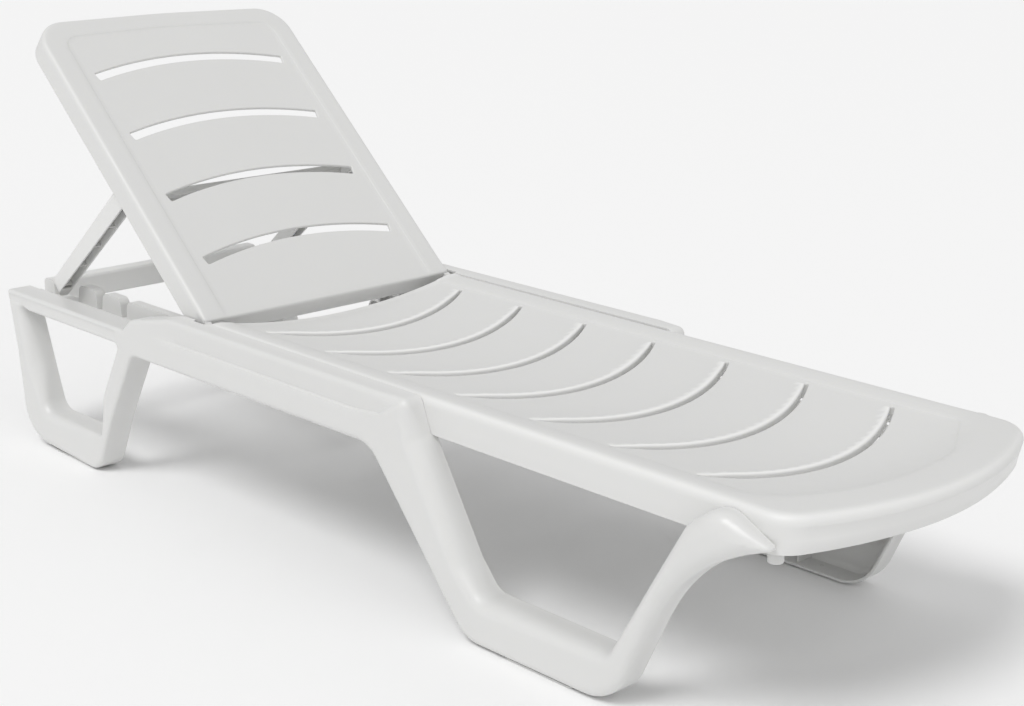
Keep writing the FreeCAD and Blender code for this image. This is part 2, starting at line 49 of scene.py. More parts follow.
# ---- outlines -----------------------------------------------------------------------------
def rounded_loop(corners, step):
    """Points round (a, b, corner radius, values...) corners; the values are carried along."""
    spans = []
    count = len(corners)
    for i in range(count):
        before_, here, after = (np.array(corners[j % count], float) for j in (i - 1, i, i + 1))
        radius = here[2]
        back = (before_ - here)[:2]
        ahead = (after - here)[:2]
        back /= np.linalg.norm(back)
        ahead /= np.linalg.norm(ahead)
        half = math.acos(max(-1.0, min(1.0, float(back @ ahead)))) / 2
        if radius <= 0.01 or half > math.radians(89.5):
            spans.append([here[:2]])
            continue
        reach = radius / math.tan(half)
        inward = (back + ahead) / np.linalg.norm(back + ahead)
        centre = here[:2] + inward * radius / math.sin(half)
        start = here[:2] + back * reach - centre
        stop = here[:2] + ahead * reach - centre
        a0 = math.atan2(start[1], start[0])
        turn = math.atan2(stop[1], stop[0]) - a0
        turn = (turn + math.pi) % (2 * math.pi) - math.pi
        pieces = max(3, math.ceil(abs(turn) * radius / step))
        spans.append([
            centre + radius * np.array([math.cos(a0 + turn * k / pieces), math.sin(a0 + turn * k / pieces)])
            for k in range(pieces + 1)
        ])
    points, values = [], []
    for i in range(count):
        own = np.array(corners[i][3:], float)
        following = np.array(corners[(i + 1) % count][3:], float)
        for point in spans[i]:
            points.append(point)
            values.append(own)
        gap = spans[(i + 1) % count][0] - spans[i][-1]
        pieces = max(1, math.ceil(np.linalg.norm(gap) / step))
        for k in range(1, pieces):
            points.append(spans[i][-1] + gap * k / pieces)
            values.append(own + (following - own) * k / pieces)
    return np.array(points), np.array(values)


def signed_area(loop):
    x, y = loop[:, 0], loop[:, 1]
    return 0.5 * float(np.sum(x * np.roll(y, -1) - y * np.roll(x, -1)))


def inward_normals(loop, solid_inside=True):
    along = np.roll(loop, -1, 0) - np.roll(loop, 1, 0)
    along /= np.maximum(np.linalg.norm(along, axis=1), 1e-9)[:, None]
    turn = 1.0 if (signed_area(loop) > 0) == solid_inside else -1.0
    return np.stack([-along[:, 1], along[:, 0]], 1) * turn


def inside(points, loop):
    a, b = loop, np.roll(loop, -1, 0)
    found = np.zeros(len(points), bool)
    for (x1, y1), (x2, y2) in zip(a, b):
        if y1 == y2:
            continue
        crosses = (points[:, 1] < y1) != (points[:, 1] < y2)
        x = x1 + (points[:, 1] - y1) * (x2 - x1) / (y2 - y1)
        found ^= crosses & (points[:, 0] < x)
    return found


def nearest(points, loop, values=None):
    """Distance of each point to a closed loop, and the loop's values at the nearest place."""
    a, b = loop, np.roll(loop, -1, 0)
    edge = b - a
    length2 = np.maximum((edge ** 2).sum(1), 1e-12)
    distance = np.empty(len(points))
    got = None if values is None else np.empty((len(points), values.shape[1]))
    after = None if values is None else np.roll(values, -1, 0)
    for start in range(0, len(points), 1500):
        p = points[start:start + 1500]
        rel = p[:, None, :] - a[None]
        t = np.clip((rel * edge[None]).sum(2) / length2, 0, 1)
        away = rel - t[..., None] * edge[None]
        d2 = (away ** 2).sum(2)
        best = d2.argmin(1)
        rows = np.arange(len(p))
        distance[start:start + 1500] = np.sqrt(d2[rows, best])
        if values is not None:
            share = t[rows, best][:, None]
            got[start:start + 1500] = values[best] * (1 - share) + after[best] * share
    return distance, got


def inwards(points, loop):
    """Distance to a closed loop, negative outside it."""
    distance, _ = nearest(points, loop)
    return np.where(inside(points, loop), distance, -distance)


def smooth(t):
    t = np.clip(t, 0.0, 1.0)
    return t * t * (3 - 2 * t)


def roll_off(distance, radius, depth):
    """How far a rounded edge has dropped, at this distance from the edge."""
    u = 1.0 - np.clip(distance / radius, 0.0, 1.0)
    return depth * (1.0 - np.sqrt(np.maximum(1.0 - u * u, 0.0)))


RINGS = (0.015, 0.06, 0.14, 0.25, 0.40, 0.58, 0.80, 1.0)


def ring_points(loop, radius, solid_inside=True):
    """Free points at growing distances from a loop, dense where its edge rounding is steep."""
    normals = inward_normals(loop, solid_inside)
    radius = np.broadcast_to(radius, (len(loop),))
    found = []
    for share in RINGS:
        points = loop + normals * (radius * share)[:, None]
        distance, _ = nearest(points, loop)
        found.append(points[distance > 0.93 * radius * share])
    return np.concatenate(found)


# ---- meshes -------------------------------------------------------------------------------
class Shell:
    """Collects faces in local millimetres; place turns them into the row frame."""

    def __init__(self, place):
        self.place = place
        self.points = []
        self.faces = []

    def add(self, points):
        base = sum(len(p) for p in self.points)
        self.points.append(np.asarray(points, float).reshape(-1, 3))
        return base

    def patch(self, points, triangles, flip=False):
        base = self.add(points)
        for a, b, c in triangles:
            self.faces.append((base + a, base + c, base + b) if flip else (base + a, base + b, base + c))

    def band(self, rows, flip=False):
        """Quads between successive rows of equally many points."""
        count = len(rows[0])
        bases = [self.add(row) for row in rows]
        for low, high in zip(bases, bases[1:]):
            for i in range(count):
                j = (i + 1) % count
                quad = (low + i, low + j, high + j, high + i)
                self.faces.append(quad[::-1] if flip else quad)

    def box(self, low, high):
        (x0, y0, z0), (x1, y1, z1) = low, high
        ring = [(x0, y0), (x1, y0), (x1, y1), (x0, y1)]
        base = self.add([(x, y, z0) for x, y in ring] + [(x, y, z1) for x, y in ring])
        for f in ((3, 2, 1, 0), (4, 5, 6, 7), (0, 1, 5, 4), (1, 2, 6, 5), (2, 3, 7, 6), (3, 0, 4, 7)):
            self.faces.append(tuple(base + k for k in f))

    def finish(self, name, body, material, nodes, mirror=False, painted_highlight=None):
        """Make the piece, smooth shaded with sharp corners, in place of its CAD nodes."""
        local = np.concatenate(self.points)
        points = np.array([self.place(*p) for p in local]) * MM
        faces = self.faces
        if mirror:
            points[:, 1] *= -1
            faces = [f[::-1] for f in faces]
        mesh = bpy.data.meshes.new(name)
        mesh.from_pydata([tuple(p) for p in points], [], faces)
        mesh.validate()
        obj = bpy.data.objects.new(name, mesh)
        bpy.context.scene.collection.objects.link(obj)
        # painted highlight: a per-point share that the resin materials mix toward a paler tone
        if painted_highlight is not None:
            layer = mesh.attributes.new("painted_highlight", "FLOAT", "POINT")
            layer.data.foreach_set("value", painted_highlight(local).astype(np.float32))
        work = bmesh.new()
        work.from_mesh(mesh)
        bmesh.ops.remove_doubles(work, verts=work.verts, dist=2e-5)
        bmesh.ops.dissolve_degenerate(work, dist=1e-6, edges=work.edges)
        work.to_mesh(mesh)
        work.free()
        mesh.polygons.foreach_set("use_smooth", [True] * len(mesh.polygons))
        mesh.set_sharp_from_angle(angle=SHARP_PIECE)
        mesh.materials.append(material)
        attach(obj, body)
        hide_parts(*nodes)


def triangulate(loops, free, outer, holes):
    """Constrained triangles over the inside of outer, less the holes."""
    points, edges = [], []
    for loop in loops:
        base = len(points)
        points.extend(loop.tolist())
        edges.extend((base + i, base + (i + 1) % len(loop)) for i in range(len(loop)))
    points.extend(free.tolist())
    made = geometry.delaunay_2d_cdt([Vector(p) for p in points], edges, [], 0, 1e-3)
    flat = np.array([(v[0], v[1]) for v in made[0]])
    triangles = np.array([f for f in made[2] if len(f) == 3])
    return flat, choose(flat, triangles, outer, holes)


def choose(flat, triangles, outer, holes):
    """The triangles whose middles lie inside outer and in none of the holes."""
    middle = flat[triangles].mean(1)
    keep = inside(middle, outer)
    for hole in holes:
        keep &= ~inside(middle, hole)
    return triangles[keep]


def lattice(x_low, x_high, y_low, y_high, step_x, step_y):
    """Grid points, every other row shifted by half a step."""
    xs = np.arange(x_low, x_high, step_x)
    ys = np.arange(y_low, y_high, step_y)
    return np.array([(x + (step_x / 2 if j % 2 else 0), y) for j, y in enumerate(ys) for x in xs])


# ---- white resin ----------------------------------------------------------------------------
def resin(name, tone, roughness, grain, bevel=0.0012):
    """Satin moulded resin: fine grain, cloudy gloss, faint flow marks, softened edges; painted highlights
    make convex edges and the places the mesh marks with its highlight attribute paler.
    """
    material = bpy.data.materials.new(name)
    material.use_nodes = True
    tree = material.node_tree
    nodes, links = tree.nodes, tree.links
    shader = nodes["Principled BSDF"]
    shader.inputs["Base Color"].default_value = (*tone, 1)
    shader.inputs["Roughness"].default_value = roughness
    shader.inputs["IOR"].default_value = 1.49
    shader.inputs["Subsurface Weight"].default_value = 0.12
    shader.inputs["Subsurface Radius"].default_value = (0.004, 0.004, 0.0035)
    shader.inputs["Subsurface Scale"].default_value = 1.0
    place = nodes.new("ShaderNodeTexCoord")

    def noise(scale, detail, rough=0.55):
        n = nodes.new("ShaderNodeTexNoise")
        n.inputs["Scale"].default_value = scale
        n.inputs["Detail"].default_value = detail
        n.inputs["Roughness"].default_value = rough
        links.new(place.outputs["Object"], n.inputs["Vector"])
        return n

    cloud = noise(7.0, 4.0)
    gloss = nodes.new("ShaderNodeMapRange")
    gloss.inputs["From Min"].default_value = 0.3
    gloss.inputs["From Max"].default_value = 0.7
    gloss.inputs["To Min"].default_value = roughness - 0.05
    gloss.inputs["To Max"].default_value = roughness + 0.07
    links.new(cloud.outputs["Fac"], gloss.inputs["Value"])
    links.new(gloss.outputs["Result"], shader.inputs["Roughness"])

    tint = nodes.new("ShaderNodeMix")
    tint.data_type = "RGBA"
    tint.inputs["A"].default_value = (*[c * 0.972 for c in tone], 1)
    tint.inputs["B"].default_value = (*[min(1.0, c * 1.012) for c in tone], 1)
    links.new(noise(3.1, 5.0, 0.6).outputs["Fac"], tint.inputs["Factor"])
    # painted highlight: convex edges, found by pointiness, are mixed 6% paler
    painted_edge_highlight = nodes.new("ShaderNodeMix")
    painted_edge_highlight.data_type = "RGBA"
    painted_edge_highlight.inputs["B"].default_value = (*[min(1.0, c * 1.06) for c in tone], 1)
    links.new(tint.outputs["Result"], painted_edge_highlight.inputs["A"])
    geometry_node = nodes.new("ShaderNodeNewGeometry")
    edge = nodes.new("ShaderNodeMapRange")
    edge.inputs["From Min"].default_value = 0.51
    edge.inputs["From Max"].default_value = 0.60
    links.new(geometry_node.outputs["Pointiness"], edge.inputs["Value"])
    links.new(edge.outputs["Result"], painted_edge_highlight.inputs["Factor"])
    # painted highlight: the mesh's per-point attribute mixes the colour toward a paler tone
    painted_highlight_attr = nodes.new("ShaderNodeAttribute")
    painted_highlight_attr.attribute_name = "painted_highlight"
    pale = nodes.new("ShaderNodeMix")
    pale.data_type = "RGBA"
    pale.inputs["B"].default_value = (*[min(1.0, c * 1.22) for c in tone], 1)
    links.new(painted_edge_highlight.outputs["Result"], pale.inputs["A"])
    links.new(painted_highlight_attr.outputs["Fac"], pale.inputs["Factor"])
    links.new(pale.outputs["Result"], shader.inputs["Base Color"])

    rounded = nodes.new("ShaderNodeBevel")
    rounded.samples = 4
    rounded.inputs["Radius"].default_value = bevel
    waves = nodes.new("ShaderNodeBump")
    waves.inputs["Strength"].default_value = 0.10
    waves.inputs["Distance"].default_value = 0.0016
    links.new(noise(16.0, 2.0).outputs["Fac"], waves.inputs["Height"])
    links.new(rounded.outputs["Normal"], waves.inputs["Normal"])
    fine = nodes.new("ShaderNodeBump")
    fine.inputs["Strength"].default_value = grain
    fine.inputs["Distance"].default_value = 0.0003
    links.new(noise(950.0, 3.0, 0.7).outputs["Fac"], fine.inputs["Height"])
    links.new(waves.outputs["Normal"], fine.inputs["Normal"])
    links.new(fine.outputs["Normal"], shader.inputs["Normal"])
    return material


def steel(name):
    material = bpy.data.materials.new(name)
    material.use_nodes = True
    tree = material.node_tree
    shader = tree.nodes["Principled BSDF"]
    shader.inputs["Base Color"].default_value = (0.62, 0.62, 0.63, 1)
    shader.inputs["Metallic"].default_value = 1.0
    streaks = tree.nodes.new("ShaderNodeTexNoise")
    streaks.inputs["Scale"].default_value = 900.0
    spread = tree.nodes.new("ShaderNodeMapRange")
    spread.inputs["To Min"].default_value = 0.26
    spread.inputs["To Max"].default_value = 0.42
    tree.links.new(streaks.outputs["Fac"], spread.inputs["Value"])
    tree.links.new(spread.outputs["Result"], shader.inputs["Roughness"])
    return material


PANEL = resin("resin_panel_white", (0.74, 0.74, 0.73), 0.40, 0.30)
FRAME = resin("resin_frame_white", (0.74, 0.74, 0.73), 0.33, 0.16)
PIN = resin("resin_pin_white", (0.72, 0.72, 0.71), 0.30, 0.06)
PAD = resin("foot_pad_white", (0.64, 0.64, 0.63), 0.50, 0.30)
STEEL = steel("screw_steel_brushed")

SLOTS = {
    "resin_panel": PANEL, "resin_frame": FRAME, "resin_pin": PIN, "foot_pad": PAD, "screw_steel": STEEL,
}
for part in frame["record"]["subparts"]:
    cad = frame["nodes"][part["node"]]
    cad.data.materials.clear()
    cad.data.materials.append(SLOTS[part["material_slot"]])
    cad.data.polygons.foreach_set("use_smooth", [True] * len(cad.data.polygons))
    cad.data.set_sharp_from_angle(angle=SHARP_CAD)

# ---- side frames ----------------------------------------------------------------------------
# x, z, corner radius, then how far the edge rounding reaches over the face and how deep it goes
SIDE_OUTLINE = [
    (-969, 298, 5, 7, 6), (-925, 298, 0, 7, 6), (-562, 298, 14, 7, 5), (-538, 321, 26, 8, 6),
    (-420, 346, 90, 9, 7), (150, 346, 0, 10, 8), (205, 346, 16, 20, 14), (229, 288, 30, 26, 38),
    (332, 122, 60, 24, 46), (372, 78, 34, 22, 32), (626, 78, 22, 16, 26), (708, 226, 120, 20, 26),
    (752, 306, 60, 26, 28), (806, 344, 42, 28, 24), (886, 302, 4, 12, 8), (760, 251, 260, 24, 20),
    (704, 148, 120, 20, 22), (637, 3, 80, 16, 14), (342, 3, 62, 14, 12), (122, 255, 60, 13, 12),
    (-537, 255, 24, 7, 6), (-614, 115, 160, 6, 5), (-664, 3, 42, 8, 7), (-925, 3, 86, 24, 20),
    (-958, 150, 320, 30, 32),
]
SIDE_OPENING = [
    (-926, 268, 8, 14, 14), (-890, 268, 0, 7, 5), (-577, 268, 8, 6, 5), (-637, 160, 60, 7, 6),
    (-652, 74, 12, 8, 8), (-852, 73, 36, 16, 18), (-886, 161, 150, 28, 34),
]
PANEL_EDGE = [
    (-478, 306, 4), (92, 306, 60), (150, 312, 30), (196, 340, 20), (204, 380, 4), (-478, 380, 4),
]
RAIL_EDGE = [(-960, 276, 3), (-585, 276, 3), (-585, 291, 3), (-960, 291, 3)]
WALL = 4.0
HALF_RIB = 1.5
HALF_WIDTH = 325.0
RECESS, RAIL_RECESS = 4.4, 1.6
RECESS_SLOPE = 1.6          # half width of the slope round a recess
SHOULDER_START, SHOULDER_END, SHOULDER_TAPER = 785.0, 886.0, 27.0
FRAME_RIBS = (-760, -610, -480, -210, -50, 110, 250, 340, 500, 690, 750)


def side_frames():
    """One open-backed shell with rolled edges, recesses and ribs, and its mirror image."""
    outline, values = rounded_loop(SIDE_OUTLINE, 5.0)
    opening, hole_values = rounded_loop(SIDE_OPENING, 5.0)
    inset = outline + inward_normals(outline) * WALL
    hole_inset = opening + inward_normals(opening, False) * WALL
    recess, _ = rounded_loop(PANEL_EDGE, 5.0)
    rail_recess, _ = rounded_loop(RAIL_EDGE, 5.0)
    free = [ring_points(outline, values[:, 0]), ring_points(opening, hole_values[:, 0], False)]
    for loop in (recess, rail_recess):
        for share in (-1.0, -0.5, 0.0, 0.5, 1.0):
            free.append(loop + inward_normals(loop) * RECESS_SLOPE * share)
    grid = lattice(-975, 900, 0, 350, 11.0, 9.5)
    d1, _ = nearest(grid, outline)
    free.append(grid[d1 > 6.0])
    free = np.concatenate(free)
    free = free[inside(free, outline) & ~inside(free, opening)]
    loops = [outline, inset, opening, hole_inset]
    d_any = np.min([nearest(free, loop)[0] for loop in loops], 0)
    free = free[d_any > 0.25]

    def face(points):
        d1, v1 = nearest(points, outline, values)
        d2, v2 = nearest(points, opening, hole_values)
        drop = np.maximum(roll_off(d1, v1[:, 0], v1[:, 1]), roll_off(d2, v2[:, 0], v2[:, 1]))
        tilt = 1.0 - 0.75 * np.clip((points[:, 1] - 306.0) / 38.0, 0.0, 1.0)
        tilt = tilt * smooth((points[:, 0] + 476.0) / 110.0)
        for loop, depth in ((recess, RECESS * tilt), (rail_recess, RAIL_RECESS)):
            drop = drop + depth * smooth((inwards(points, loop) + RECESS_SLOPE) / (2 * RECESS_SLOPE))
        along = (points[:, 0] - SHOULDER_START) / (SHOULDER_END - SHOULDER_START)
        drop = drop + SHOULDER_TAPER * np.clip(along, 0.0, 1.0) ** 1.6
        return HALF_WIDTH - np.minimum(drop, HALF_WIDTH - inner_edge(points) - 0.6)

    def inner_edge(points):
        x, z = points[:, 0], points[:, 1]
        beside_deck = (z > 289.0) & (x > -562) & (x < 950)
        on_rail = (z > 262.0) & (x < -562)
        notch = (z > 325.0) & (x > -384) & (x < -350)
        return np.where(notch, 293.0, np.where(beside_deck, 285.2, np.where(on_rail, 277.4, 275.0)))

    flat, triangles = triangulate(loops, free, outline, [opening])
    outer_y = face(flat)
    shell = Shell(lambda a, b, c: (a, b, c))
    lift = lambda points, y: np.stack([points[:, 0], np.broadcast_to(y, (len(points),)), points[:, 1]], 1)
    shell.patch(lift(flat, outer_y), triangles, flip=True)
    for loop, hole, inner in ((outline, False, inset), (opening, True, hole_inset)):
        rim = inner_edge(loop)
        top = face(loop)
        rows = [lift(loop, top + (rim - top) * k) for k in (0.0, 0.06, 0.5, 1.0)]
        rows.append(lift(inner, inner_edge(loop)))
        rows.append(lift(inner, np.maximum(face(inner) - WALL, inner_edge(loop) + 0.5)))
        clockwise = signed_area(loop) < 0
        shell.band(rows, flip=clockwise != hole)
    back = choose(flat, triangles, inset, [hole_inset])
    inner_y = np.maximum(outer_y - WALL, inner_edge(flat) + 0.5)
    shell.patch(lift(flat, inner_y), back)
    for x in FRAME_RIBS:
        zs = np.arange(4.0, 346.0, 3.0)
        line = np.stack([np.full(len(zs), float(x)), zs], 1)
        solid = inside(line, inset) & ~inside(line, hole_inset)
        for run in np.split(np.arange(len(zs)), np.where(np.diff(solid.astype(int)) != 0)[0] + 1):
            if not solid[run[0]] or len(run) < 3:
                continue
            part = line[run]
            outer, inner = face(part) - WALL + 0.5, inner_edge(part) + 8.0
            x0, x1 = x - HALF_RIB, x + HALF_RIB
            rows = []
            for (_, z), y1, y0 in zip(part, outer, inner):
                y1 = max(y1, y0 + 0.4)
                rows.append([(x0, y0, z), (x1, y0, z), (x1, y1, z), (x0, y1, z)])
            shell.band(rows)
    for name, mirror in (("right", False), ("left", True)):
        shell.finish("moulded_side_frame_" + name, "bed", FRAME,
                     ["side_frame_" + name], mirror=mirror)


# ---- slots --------------------------------------------------------------------------------
def slot_loop(x_end, bow, half, width, step=4.0):
    """Closed loop of a slot across the bed: ends at x_end, middle bowed, corners a little rounded."""
    radius = (half * half + bow * bow) / (2 * abs(bow))
    sign = 1.0 if bow > 0 else -1.0
    count = max(8, int(2 * half / step))
    ys = np.linspace(-half, half, count + 1)
    xs = x_end + bow - sign * (radius - np.sqrt(radius ** 2 - ys ** 2))
    slope = -sign * ys / np.sqrt(radius ** 2 - ys ** 2)
    normal = np.stack([np.ones_like(ys), -slope], 1) / np.sqrt(1 + slope ** 2)[:, None]
    line = np.stack([xs, ys], 1)
    right, left = line + normal * width / 2, line - normal * width / 2
    ends = []
    for k, way in ((-1, 1.0), (0, -1.0)):
        tangent = np.array([slope[k], 1.0]) / math.hypot(slope[k], 1.0) * way
        across = normal[k] * way
        ends.append([])
        soft = min(3.0, width / 2)
        side = width / 2 - soft
        angles = np.linspace(0, math.pi, 9)[1:-1]
        for a in angles:
            reach = soft * math.cos(a) + side * np.sign(round(math.cos(a), 6))
            ends[-1].append(line[k] + across * reach + tangent * soft * math.sin(a))
    return np.concatenate([right, ends[0], left[::-1], ends[1]])


def slot_middle(loop):
    """The middle line of a slot as rising y values and their x values."""
    ys = np.linspace(loop[:, 1].min(), loop[:, 1].max(), 60)
    xs = []
    for y in ys:
        near = loop[np.abs(loop[:, 1] - y) < 8.0, 0]
        xs.append((near.max() + near.min()) / 2)
    return ys, np.array(xs)


def panel_with_slots(
    shell, outline, edge_round, slots, lip_round, lip_depth, height, bottom, wall, grid, marks, low_ring,
):
    """A moulded panel: rounded border, skirt, slots with rolled lips, and its hollow underside."""
    inset = outline + inward_normals(outline) * wall
    lips = [loop + inward_normals(loop, False) * 3.0 for loop in slots]
    free = [ring_points(outline, edge_round)]
    for loop in slots:
        normals = inward_normals(loop, False)
        for share in RINGS:
            free.append(loop + normals * lip_round * share)
        free.append(loop + normals * (lip_round + 3.0))
    free.append(marks)
    d, _ = nearest(grid, outline)
    near_slot = np.min([nearest(grid, loop)[0] for loop in slots], 0)
    free.append(grid[(d > 1.15 * edge_round.max()) & (near_slot > lip_round + 6.0)])
    free = np.concatenate(free)
    keep = inside(free, outline)
    for loop in slots:
        keep &= ~inside(free, loop)
    free = free[keep]
    loops = [outline, inset] + slots + lips
    d_any = np.min([nearest(free, loop)[0] for loop in loops], 0)
    free = free[d_any > 0.2]
    flat, triangles = triangulate(loops, free, outline, slots)

    def top(points):
        d, v = nearest(points, outline, edge_round[:, None])
        drop = roll_off(d, v[:, 0], v[:, 0])
        near = np.min([nearest(points, loop)[0] for loop in slots], 0)
        return height(points) - drop - roll_off(near, lip_round, lip_round)

    def under(points):
        d, _ = nearest(points, inset)
        return np.minimum(height(points) - wall - 3.0 * (1 - smooth(d / 8.0)), top(points) - 2.4)

    lift = lambda points, z: np.stack([points[:, 0], points[:, 1], np.broadcast_to(z, (len(points),))], 1)
    upper = top(flat)
    shell.patch(lift(flat, upper), triangles)
    edge_z = top(outline)
    low = low_ring(outline)
    rows = []
    for k in (0.0, 0.05, 0.5, 0.95, 1.0):
        rows.append(lift(outline + (low - outline) * k, edge_z + (bottom - edge_z) * k))
    inner_low = low + inward_normals(low) * wall
    rows.append(lift(inner_low, bottom))
    rows.append(lift(inset, under(inset)))
    shell.band(rows, flip=signed_area(outline) > 0)
    for loop, lip in zip(slots, lips):
        start = top(loop)
        base = height(loop) - lip_depth
        rows = [lift(loop, start), lift(loop, start - 1.0), lift(loop, base), lift(lip, base)]
        rows.append(lift(lip, height(lip) - wall - 0.5))
        shell.band(rows, flip=signed_area(loop) < 0)
    back = choose(flat, triangles, inset, lips)
    shell.patch(lift(flat, under(flat)), back, flip=True)


# ---- lying surface --------------------------------------------------------------------------
BED_TOP, SKIRT_BOTTOM, DISH, DISH_HALF = 346.0, 290.0, 27.0, 265.0
DISH_START, DISH_STOP = 770.0, 905.0
TURN = ((DISH_STOP - DISH_START) ** 2 - DISH ** 2) / (2 * DISH)
BED_REAR, HALF_LENGTH = -347.0, 969.0
SLOT_FIRST, SLOT_PITCH, SLOT_BOW, SLOT_HALF = -263.0, 160.6, 60.0, 224.0
STEP_EDGE = [
    (-360, -236, 2), (812, -236, 26), (893, -90, 160), (893, 90, 160), (812, 236, 26), (-360, 236, 2),
]
BOW_RADIUS = (SLOT_HALF ** 2 + SLOT_BOW ** 2) / (2 * SLOT_BOW)
DECK_RIBS = (-190.0, -95.0, 0.0, 95.0, 190.0)
RIB_BOTTOM = SKIRT_BOTTOM + 8.0
PEG_X, PEG_Y, SOCKET_OUTER, SOCKET_INNER = 856.0, 252.0, 14.0, 11.0


def bow(y):
    """How far a slot's middle line is bowed past its ends."""
    return np.sqrt(np.maximum(BOW_RADIUS ** 2 - y ** 2, 0.0)) - (BOW_RADIUS - SLOT_BOW)


def deck_height(points):
    """Dished top with raised slats between the slots and a small step round them."""
    x, y = points[:, 0], points[:, 1]
    radius = (DISH_HALF ** 2 + DISH ** 2) / (2 * DISH)
    across = np.sqrt(np.maximum(radius ** 2 - np.minimum(np.abs(y), DISH_HALF) ** 2, 0)) - (radius - DISH)
    past = np.maximum(x - DISH_START, 0.0)
    depth = np.sqrt(np.maximum((TURN + across) ** 2 - past ** 2, 0.0)) - TURN
    depth = 0.5 * (depth + np.sqrt(depth ** 2 + 6.0)) - 0.5 * math.sqrt(6.0) * np.exp(-np.abs(depth) / 6.0)
    phase = (x - bow(y) - SLOT_FIRST) / SLOT_PITCH
    share = phase - np.floor(phase)
    window = smooth((SLOT_HALF + 4.0 - np.abs(y)) / 60.0) * (phase > -0.45) * (phase < 6.6)
    rise = smooth((share - 0.55) / 0.45) * (phase < 6.0)
    rise = rise - 0.5 * smooth((0.25 - share) / 0.25) * (phase > 0.0)
    to_slot = (1.0 - share) * SLOT_PITCH - 8.5
    rise = rise + 0.8 * np.exp(-(to_slot / 3.6) ** 2) * (phase < 6.0)
    loop, _ = rounded_loop(STEP_EDGE, 8.0)
    return BED_TOP - depth + 2.4 * rise * window - 1.3 * smooth((inwards(points, loop) + 1.2) / 2.4)


def deck():
    """Dished panel with its slots, skirt, ribs and the sockets of the stacking pegs."""
    tip = HALF_LENGTH
    corners = [
        (BED_REAR, -285, 3, 4), (BED_REAR + 30.0, -285, 0, 11), (tip - 78.0, -285, 62, 16),
        (tip + 66.0, 0, 555, 16), (tip - 78.0, 285, 62, 16), (BED_REAR + 30.0, 285, 0, 11),
        (BED_REAR, 285, 3, 4),
    ]
    outline, values = rounded_loop(corners, 6.0)
    outline[:, 0] = np.minimum(outline[:, 0], tip)
    slots = [slot_loop(SLOT_FIRST + SLOT_PITCH * i, SLOT_BOW, SLOT_HALF, 6.4) for i in range(7)]
    marks, _ = rounded_loop(STEP_EDGE, 6.0)
    marks = np.concatenate([marks + inward_normals(marks) * k for k in (-1.2, -0.4, 0.4, 1.2)])
    grid = lattice(BED_REAR - 70, 1000, -283, 283, 12.0, 11.0)
    grid[:, 0] += bow(grid[:, 1])

    def low_ring(loop):
        moved = loop.copy()
        moved[:, 0] -= 18.0 * smooth((loop[:, 0] - 845.0) / 130.0)
        return moved

    shell = Shell(lambda a, b, c: (a, b, c))
    panel_with_slots(shell, outline, values[:, 0], slots, 2.4, 13.0, deck_height, SKIRT_BOTTOM, WALL, grid,
                     marks, low_ring)
    for y in DECK_RIBS:
        xs = np.arange(BED_REAR + 3.0, 952.0, 6.0)
        xs = xs[inside(np.stack([xs + 28.0, np.full(len(xs), y)], 1), outline)]
        line = np.stack([xs, np.full(len(xs), y)], 1)
        high = deck_height(line) - WALL + 0.4
        for loop in slots:
            high = np.where(nearest(line, loop)[0] < 7.0, np.minimum(high, deck_height(line) - 13.5), high)
        y0, y1 = y - HALF_RIB, y + HALF_RIB
        rows = [[(x, y0, RIB_BOTTOM), (x, y1, RIB_BOTTOM), (x, y1, h), (x, y0, h)] for x, h in zip(xs, high)]
        shell.band(rows, flip=True)
    around = np.linspace(0, 2 * math.pi, 29)[:-1]
    for y in (-PEG_Y, PEG_Y):
        rows = []
        outer, inner = SOCKET_OUTER, SOCKET_INNER
        for radius, z in ((outer, 338.0), (outer, RIB_BOTTOM), (inner, RIB_BOTTOM), (inner, 322.0)):
            rows.append([(PEG_X + radius * math.cos(a), y + radius * math.sin(a), z) for a in around])
        shell.band(rows, flip=True)

    def painted_highlight(points):
        """Painted highlight: the top made paler along its edge and on the head side of each slot, where the
        rounded lips catch the light.
        """
        flat = points[:, :2]
        to_edge, _ = nearest(flat, outline)
        share = np.exp(-((to_edge - 5.0) / 4.0) ** 2) * 0.5
        for loop in slots:
            d, _ = nearest(flat, loop)
            head_side = flat[:, 0] < np.interp(flat[:, 1], *slot_middle(loop))
            beside = head_side * (np.abs(flat[:, 1]) < 222)
            share = np.maximum(share, np.exp(-((d - 3.5) / 3.4) ** 2) * beside)
        return share * (points[:, 2] > 300.0)

    shell.finish("moulded_deck", "bed", PANEL, ["deck_panel"], painted_highlight=painted_highlight)


# ---- backrest -------------------------------------------------------------------------------
RAISED = math.radians(41.5)
BACK_HALF, BACK_DEPTH = 283.0, 44.0
BACK_SLOT_FIRST, BACK_SLOT_PITCH, BACK_SLOT_BOW, BACK_SLOT_HALF = 125.0, 146.3, 27.0, 210.0
BACK_RIBS = (-175.0, -60.0, 60.0, 175.0)
BAR_ROOM = (352.0, 424.0)     # the ribs stop here for the bar of the prop
HINGE_S, HINGE_H = -5.7, -15.0


def on_backrest(s, y, h):
    """s up the backrest from its lower edge, h above its face."""
    return (-360.0 - math.cos(RAISED) * s + math.sin(RAISED) * h, y,
            BED_TOP + math.sin(RAISED) * s + math.cos(RAISED) * h)


BACK_STEP = [(664, -237, 30), (672, 0, 1600), (664, 237, 30), (-10, 237, 2), (-10, -237, 2)]


def back_height(points):
    loop, _ = rounded_loop(BACK_STEP, 8.0)
    return -1.1 * smooth((inwards(points, loop) + 1.2) / 2.4)


